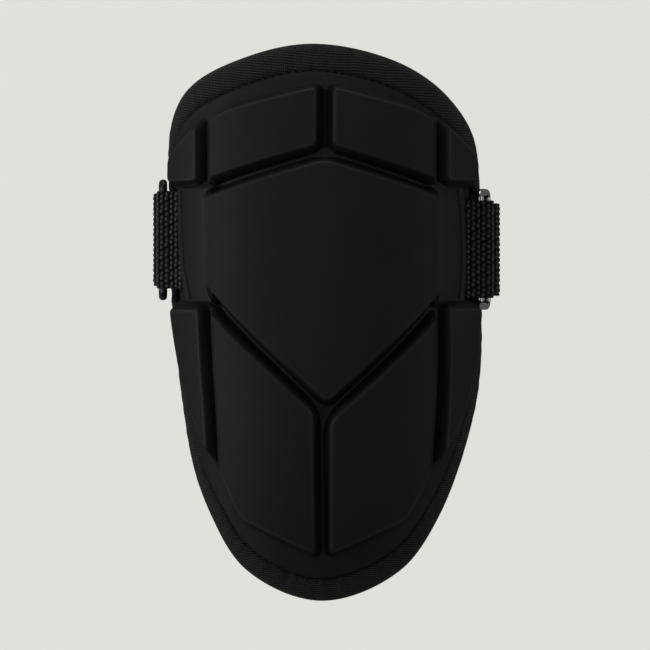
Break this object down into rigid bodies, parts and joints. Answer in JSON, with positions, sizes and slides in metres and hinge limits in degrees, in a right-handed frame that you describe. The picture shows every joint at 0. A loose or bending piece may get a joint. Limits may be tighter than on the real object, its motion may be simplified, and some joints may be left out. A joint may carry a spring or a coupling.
{
  "type": "baseball elbow guard",
  "caption": "Arched elbow guard: moulded foam face with raised blocks on a padded knit backing, webbing tabs with ring loops at its sides and a closed strap behind.",
  "frame": {"origin": "middle of the footprint, on the surface that the guard lies on", "axes": "+Z out of the moulded face, +Y towards the end worn on the upper arm, +X to the right of that"},
  "size_m": [0.1428, 0.2277, 0.0666],
  "materials": {
    "molded_foam": "matt black moulded EVA foam with a fine satin skin",
    "knit_fabric": "black ribbed knit over soft padding",
    "webbing": "black woven polypropylene webbing",
    "black_plastic": "glossy black",
    "chromed_wire": "polished chrome",
    "hook_tape": "black nylon hook tape"
  },
  "bodies": {
    "root": {"molded_face": "molded_foam", "fabric_backing": "knit_fabric", "left_tab": "webbing", "right_tab": "webbing", "left_ring": "black_plastic", "right_ring": "chromed_wire", "strap": "webbing", "hook_patch": "hook_tape"}
  },
  "joints": []
}
